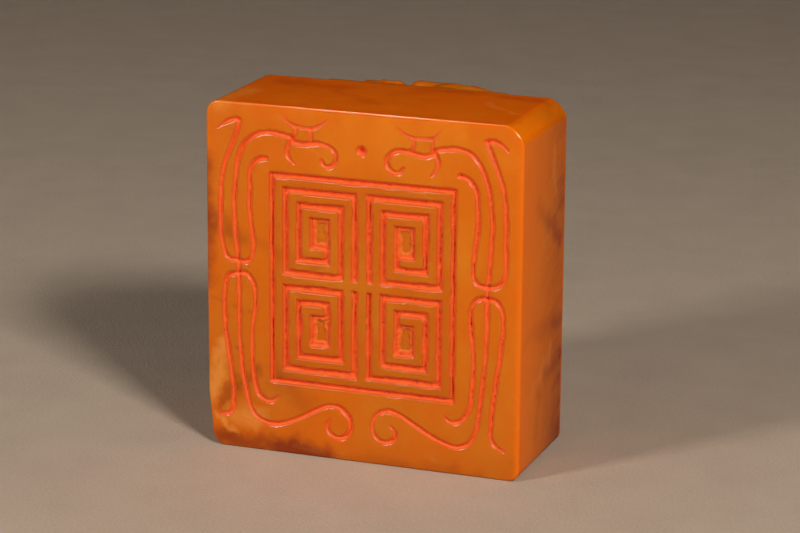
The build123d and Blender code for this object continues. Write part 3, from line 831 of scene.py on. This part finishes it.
def stone_veins_and_shade(finish, broad, soft, field, right):
    """How strongly russet shows: veins most behind, low down and at the left, with painted shade on the
    field's land near the face, and almost none on the right side's back rim, which is left lighter as a
    painted glow.
    """
    slant = finish.noise(1.5, detail=4.0, stretch=(4.0, 5.0, 1.0), turn=(25, 0, 0), roughness=0.6,
                         distortion=0.5)
    upright = finish.noise(1.6, detail=2.0, stretch=(1, 1, 12.0), shift=(3, 8, 1))
    behind = finish.y.ramp(FACE_Y + 1, BACK_Y + 6)
    low = 1 - finish.z.ramp(0.0, 32.0)
    lowest = 1 - finish.z.ramp(0.0, 5.0)
    left = 1 - finish.x.ramp(-20.0, -4.0)
    veins = low * 0.2 + left * 0.12 + lowest * 0.12 + behind * 0.38
    veins = veins * (0.45 + broad.ramp(0.3, 0.7) * 0.7 + (soft - 0.5) * 0.5)
    veins = veins + behind * slant.ramp(0.45, 0.68) * 0.34 + right * behind * 0.3
    veins = veins + right * (upright - 0.5) * 0.25
    # Painted shade: the field's land turns darker russet near the face
    veins = veins + field * (1 - finish.y.ramp(FACE_Y + 1, FACE_Y + 3)) * 0.15
    # Painted glow: the veins are almost all left off the right side's back rim, which shows lighter
    return veins * (1 - right * finish.y.ramp(BACK_Y - 1.6, BACK_Y - 0.4) * 0.95)


def stone_finish(settings):
    """Waxy, slightly see-through amber stone with honey clouds and soft russet veins, and painted light and
    shade: glow on the right side and the top, a lighter chamfer band and a darker field.
    """
    finish = Finish("amber_stone")
    amber, honey, russet, pale = (
        tuple(getattr(settings, name)) for name in ("amber", "honey", "russet", "pale"))
    broad = finish.noise(12.0, detail=2.0, distortion=0.3)
    soft = finish.noise(4.0, detail=4.0, stretch=(1, 1, 1.5), distortion=0.6)
    ragged = finish.ragged(2.6, 3.4)
    right = finish.x.ramp(HIGH.x - 1, HIGH.x)
    front = 1 - finish.y.ramp(FACE_Y, BACK_Y - 4)
    across = finish.x.before("ABSOLUTE")
    field = 1 - across.ramp(FIELD_HIGH.x - FIELD_EASE, FIELD_HIGH.x + FIELD_EASE)
    field = field * finish.z.ramp(FIELD_LOW.z - FIELD_EASE, FIELD_LOW.z + FIELD_EASE)
    field = field * (1 - finish.z.ramp(FIELD_HIGH.z - FIELD_EASE, FIELD_HIGH.z + FIELD_EASE))
    colour = (broad * 0.6 + soft * 0.4).ramp(0.42, 0.75).mix(amber, honey)
    # Russet veins together with painted shade on the field and painted glow at the right side's back rim
    veins = stone_veins_and_shade(finish, broad, soft, field, right)
    colour = add_streaks(finish, veins, ragged, DARK_STREAKS).held().mix(colour, russet)
    wisps = finish.noise(1.8, detail=4.0, stretch=(4.0, 4.0, 1.0), turn=(20, 15, 30), distortion=1.2)
    wisps = wisps.ramp(0.6, 0.85) * 0.22
    colour = add_streaks(finish, wisps, ragged, PALE_STREAKS).held().mix(colour, pale)
    # Painted glow: the right side is a lighter orange towards the front
    colour = (right * front * 0.75).mix(colour, PAINTED_SIDE_GLOW)
    # Painted glow: the top is a deeper red-orange
    colour = (finish.z.ramp(HIGH.z - 0.3, HIGH.z) * 0.38).mix(colour, PAINTED_TOP_GLOW)
    # Painted light: the band along the top-right chamfer is lighter towards the front
    band = finish.x + finish.z + finish.noise(3.0) * 0.3 - (HIGH.x + HIGH.z - CORNER_BAND)
    colour = (band.ramp(0.0, 0.25) * (front * 0.9).held()).mix(colour, PAINTED_BAND_LIGHT)
    stain = finish.noted("stain")
    grit = finish.noise(0.25, detail=2.0)
    polish = 1 - finish.y.ramp(FACE_Y + 0.2, FACE_Y + 0.3)
    polish = polish * finish.y.ramp(FACE_Y + 0.004, FACE_Y + 0.02) * (1 - field)
    finish.feed({"Base Color": (stain * (0.25 + grit)).held().mix(colour, STAINED),
                 "Roughness": 0.15 + soft * 0.12 + stain * 0.25 - polish * 0.08,
                 "Subsurface Weight": 0.5, "Subsurface Radius": (1.0, 0.3, 0.04),
                 "Subsurface Scale": 0.003, "IOR": 1.5, "Specular IOR Level": 0.4})
    finish.bump(finish.noise(2.4, detail=4.0), 0.012)
    return finish.material


def paste_finish(settings):
    """Red-orange paste: oily, granular, with painted shade in the depth and painted light at the rim, thin
    where it was rubbed off.
    """
    finish = Finish("seal_paste")
    grain = finish.noise(0.22, detail=3.0)
    blots = finish.noise(1.2, detail=3.0)
    deep, cover = finish.noted("deep"), finish.noted("cover")
    # Dark red grains in the paste, shown in the depth by the next line, where they also give painted shade
    red = (grain * 0.7 + blots * 0.3).ramp(0.35, 0.65).mix(PASTE_GRAIN_AND_DEPTH_SHADE, tuple(settings.colour))
    # Painted shade and light: the paste is darker red in the depth and lighter at the rim
    colour = (deep * 0.8 + (blots - 0.42) * 0.6).held().mix(PASTE_RIM_PAINTED_LIGHT, red)
    specks = finish.noise(0.36, detail=3.0, shift=(0.2, 0.7, 0.4), roughness=0.7).ramp(0.54, 0.64)
    dark = specks * blots.ramp(0.4, 0.58) * (0.25 + deep) * (0.8 + finish.x.ramp(0.0, 14.0) * 0.7)
    colour = (dark.held() * 0.85).mix(colour, PASTE_SPECK)
    thin = ((1 - cover) * 1.6 - grain * 0.6).held()
    finish.feed({"Base Color": thin.mix(colour, PASTE_THIN),
                 "Roughness": 0.6 - grain.ramp(0.6, 0.72) * 0.38, "Specular IOR Level": 0.25,
                 "Subsurface Weight": 0.15, "Subsurface Radius": (1.0, 0.3, 0.15),
                 "Subsurface Scale": 0.0006})
    finish.bump(grain, 0.09)
    return finish.material


def seal_pieces():
    """Collection of the seal's own pieces, which the back light falls on."""
    name = "seal_pieces"
    return bpy.data.collections.get(name) or bpy.data.collections.new(name)


def dress(piece, finish, nodes):
    """Gives a finished piece its material and its place in the record."""
    piece.data.materials.clear()
    piece.data.materials.append(finish)
    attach(piece, "root")
    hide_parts(*nodes)
    seal_pieces().objects.link(piece)


def shade(piece, angle):
    """Smooth shading with crisp edges and flats that stay flat."""
    piece.data.shade_smooth()
    piece.data.set_sharp_from_angle(angle=angle)
    modified(piece, "WEIGHTED_NORMAL", keep_sharp=True)


class SEAL_OT_stone(bpy.types.Operator):
    """Make the cut block and its carved knob as one stone"""
    bl_idname = "seal.stone"
    bl_label = "Seal stone"

    # Millimetres below the face and in from a cut's rim at which the stone's stain starts and ends
    STAIN_DEPTH, STAIN_RIM = 1.2, 0.02
    STAIN_DROP, STAIN_FLOOR = (0.001, 0.012), (0.45, 1.0)
    CREASE = math.radians(38)

    def execute(self, context):
        cuts = context.scene.seal_cuts
        surface = CutSurface(cuts)
        stone = block_piece(context.scene.seal_stone)
        boolean(stone, cutter_piece(surface, cuts.cell), "DIFFERENCE")
        boolean(stone, knob_piece(context.scene.seal_knob), "UNION")
        stone.name = stone.data.name = "carved_stone"
        shade(in_metres(stone), self.CREASE)
        self.stain(stone.data, surface)
        dress(stone, stone_finish(context.scene.seal_stone), [STONE_NODE])
        return {"FINISHED"}

    def stain(self, mesh, surface):
        """Notes where the paste has stained the stone, beside the cuts and round the bare floors."""
        stain = mesh.attributes.new("stain", "FLOAT", "POINT")
        for index, corner in enumerate(mesh.vertices):
            place = corner.co / MM
            if place.y < FACE_Y + self.STAIN_DEPTH:
                inside, owner = surface.plan_at(place.x, place.z)
                edge = eased(inside, -surface.settings.shoulder, -self.STAIN_RIM)
                edge *= eased(place.y - FACE_Y, *self.STAIN_DROP)
                stain.data[index].value = edge * (1 - eased(inside, *self.STAIN_FLOOR))


class SEAL_OT_paste(bpy.types.Operator):
    """Lay the seal paste in the cuts, one piece for each layer of the part"""
    bl_idname = "seal.paste"
    bl_label = "Seal paste"

    # Shares of a cut's full depth over which the paste's painted shade in the depth grows in
    DEEP_SHARES = (0.4, 0.9)
    # Millimetres: the thinnest skin, and how far inside a cut it thickens, covers, wears and ends
    THINNEST = 0.02
    THICKENS, COVERS = (0.1, 0.3), (0.0, 0.16)
    WEARS, ENDS = (0.35, 0.68), (0.6, 0.9)
    # Cover at a cut's rim as a share, and how far the skin sinks in the stone where it ends
    RIM_COVER_SHARE = 0.35
    SINKS = 0.3
    MARGIN = 1.0

    def execute(self, context):
        cuts, settings = context.scene.seal_cuts, context.scene.seal_paste
        surface = CutSurface(cuts)
        finish = paste_finish(settings)
        back = Vector((0, settings.back, 0))
        for name in PASTE_NODES:
            grid = self.skin(name, surface, settings, cuts.cell)
            close_behind(grid, lambda place: place + back)
            piece = in_metres(drawn(grid, "seal_" + name))
            piece.data.shade_smooth()
            dress(piece, finish, [name])
        return {"FINISHED"}

    def skin(self, name, surface, settings, cell):
        """The paste's outer skin in the cuts of one node, with notes of its depth and its cover."""
        low, high = (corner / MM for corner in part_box(name))
        grid = face_grid(low, high, self.MARGIN, cell)
        deep = grid.verts.layers.float.new("deep")
        cover = grid.verts.layers.float.new("cover")
        wanted = []
        for point in grid.verts:
            x, z = point.co.x, point.co.z
            inside, owner = surface.plan_at(x, z)
            if inside > 0 and owner == name:
                wanted.append(point)
            depth, point[cover] = self.depth(surface, settings, x, z, inside, owner)
            full = surface.plan.depths[owner]
            point[deep] = eased(depth, *(share * full for share in self.DEEP_SHARES))
            point.co.y = FACE_Y + depth
        keep_faces(grid, wanted)
        return grid

    def depth(self, surface, settings, x, z, inside, owner):
        """Depth of the paste's skin below the face, and how well it covers the stone there."""
        grain = hand_noise(x, z, 6.1, 1.0) + hand_noise(x, z, 2.3, 4.0)
        in_field = owner.startswith(FIELD_PREFIX)
        lay = (settings.field_lay if in_field else settings.lay) + settings.grain * grain
        skin = max(self.THINNEST, lay) * (1 + eased(inside, *self.THICKENS))
        depth = surface.depth(x, z, inside, owner) - min(skin, inside * settings.rim_fill)
        cover = self.RIM_COVER_SHARE + (1 - self.RIM_COVER_SHARE) * eased(inside, *self.COVERS)
        if in_field:
            bare = inside + hand_noise(x, z, 1.3, 7.0) * 0.25 + hand_noise(x, z, 5, 3) * 0.1
            depth += self.SINKS * eased(bare, *self.ENDS)
            cover *= 1 - eased(bare, *self.WEARS)
        return max(settings.rim_gap, depth), cover


class SEAL_OT_stage(bpy.types.Operator):
    """Make the pale floor, the lights round the seal, the dim room and the camera"""
    bl_idname = "seal.stage"
    bl_label = "Seal stage"

    # Reach of the floor in millimetres, and shares of its colour in its grain and in the seal's polish
    FLOOR_REACH = 2000.0
    GRAIN_SHARE, MIRRORED_SHARE = 0.84, 0.4
    # Square soft lights and the spot behind: places and sizes in metres
    LIGHTS = (("key", (0.358, -0.346, 0.357), 0.1), ("fill", (-0.317, -0.452, 0.256), 0.1),
              ("top", (-0.17, -0.13, 0.5), 0.05))
    BACK_PLACE, BACK_SIZE = (0.24, 0.5, 0.27), 0.04
    # The camera, found from the block's corners: millimetres, degrees, and its place in face widths
    LENS, SENSOR = 134.56, 36.0
    YAW, PITCH, ROLL = -20.257, 15.395, 0.399
    CAMERA_PLACE = Vector((0.1144, 0.1103, 8.8973))

    def execute(self, context):
        settings = context.scene.seal_stage
        self.floor(settings)
        for name, place, size in self.LIGHTS:
            data = bpy.data.lights.new(name + "_light", "AREA")
            data.size = size
            data.energy = getattr(settings, name + "_power")
            self.aimed(data, place).visible_diffuse = name != "top"
        self.back_light(settings)
        self.surroundings(context, settings)
        self.camera(context)
        context.scene.view_settings.view_transform = "Standard"
        return {"FINISHED"}

    def floor(self, settings):
        """Plain pale floor with a fine grain, duller where the seal's polish mirrors it."""
        sheet = bmesh.new()
        bmesh.ops.create_grid(sheet, x_segments=1, y_segments=1, size=self.FLOOR_REACH)
        piece = in_metres(drawn(sheet, "floor"))
        finish = Finish("floor")
        grit = finish.noise(0.4, detail=4.0, roughness=0.7)
        shades = (grit * 0.7 + finish.noise(9.0, detail=2.0) * 0.3).ramp(0.3, 0.7)
        near, dim, dull = (tuple(level * share for level in settings.floor_colour[:3]) + (1.0,)
                           for share in (1.0, self.GRAIN_SHARE, self.MIRRORED_SHARE))
        rays = finish.wire.node("LightPath", output="Is Glossy Ray")
        finish.feed({"Base Color": rays.mix(shades.mix(dim, near), dull), "Roughness": 0.85})
        finish.bump(grit, 0.1)
        piece.data.materials.append(finish.material)

    def back_light(self, settings):
        """Narrow soft spot on the seal's back, which leaves the floor round it in peace."""
        data = bpy.data.lights.new("back_light", "SPOT")
        data.energy = settings.back_power
        data.shadow_soft_size = self.BACK_SIZE
        data.spot_size = math.radians(12)
        data.spot_blend = 0.6
        light = self.aimed(data, self.BACK_PLACE)
        light.light_linking.receiver_collection = seal_pieces()
        light.visible_glossy = False

    def aimed(self, data, place):
        """Puts a light in its place, looking at the middle of the seal."""
        light = linked(data, data.name)
        light.location = place
        aim = Vector((0, 0, MIDDLE_Z * MM)) - light.location
        light.rotation_euler = aim.to_track_quat("-Z", "Y").to_euler()
        return light

    def surroundings(self, context, settings):
        """A dim room: soft light from all round, but dark where the polish mirrors it."""
        world = bpy.data.worlds.new("studio")
        world.use_nodes = True
        tree = world.node_tree
        mirrored = Wire(tree).node("LightPath", output="Is Glossy Ray")
        strength = settings.room_strength + mirrored * (settings.room_gloss - settings.room_strength)
        background = tree.nodes["Background"]
        background.inputs["Color"].default_value = screen_colour(200, 196, 190)
        tree.links.new(strength.socket, background.inputs["Strength"])
        context.scene.world = world

    def camera(self, context):
        """Camera at the photograph's angle."""
        data = bpy.data.cameras.new("camera")
        data.sensor_width = self.SENSOR
        data.lens = self.LENS
        data.clip_start = 0.01
        camera = linked(data, "camera")
        turn = Matrix.Identity(4)
        for angle, axis in ((-self.YAW, "Z"), (90 - self.PITCH, "X"), (self.ROLL, "Z")):
            turn = turn @ Matrix.Rotation(math.radians(angle), 4, axis)
        width = WIDTH * MM
        centre = Matrix.Translation((0, FACE_Y * MM, width / 2))
        camera.matrix_world = centre @ turn @ Matrix.Translation(width * self.CAMERA_PLACE)
        context.scene.camera = camera


class SEAL_PT_panel(bpy.types.Panel):
    """Lists the makers of the seal and their sizes"""
    bl_idname = "SEAL_PT_panel"
    bl_label = "Carved stone seal"
    bl_space_type = "VIEW_3D"
    bl_region_type = "UI"
    bl_category = "Seal"

    def draw(self, context):
        for operator, groups in PARTS.items():
            box = self.layout.box()
            box.operator(operator)
            for settings in (getattr(context.scene, group) for group in groups):
                for name in settings.bl_rna.properties.keys():
                    if name not in ("rna_type", "name"):
                        box.prop(settings, name, text=name.replace("_", " ").capitalize())


PARTS = {
    "seal.stone": {"seal_stone": SealStoneSettings, "seal_cuts": SealCutSettings,
                   "seal_knob": SealKnobSettings},
    "seal.paste": {"seal_paste": SealPasteSettings},
    "seal.stage": {"seal_stage": SealStageSettings},
}
GROUPS = {name: group for groups in PARTS.values() for name, group in groups.items()}
CLASSES = [*GROUPS.values(), SEAL_OT_stone, SEAL_OT_paste, SEAL_OT_stage, SEAL_PT_panel]


def register():
    for item in CLASSES:
        bpy.utils.register_class(item)
    for name, group in GROUPS.items():
        setattr(bpy.types.Scene, name, PointerProperty(type=group))


def unregister():
    for name in GROUPS:
        delattr(bpy.types.Scene, name)
    for item in reversed(CLASSES):
        bpy.utils.unregister_class(item)


def main():
    """Makes every piece."""
    register()
    bpy.ops.seal.stage()
    bpy.ops.seal.stone()
    bpy.ops.seal.paste()


if __name__ == "__main__":
    main()
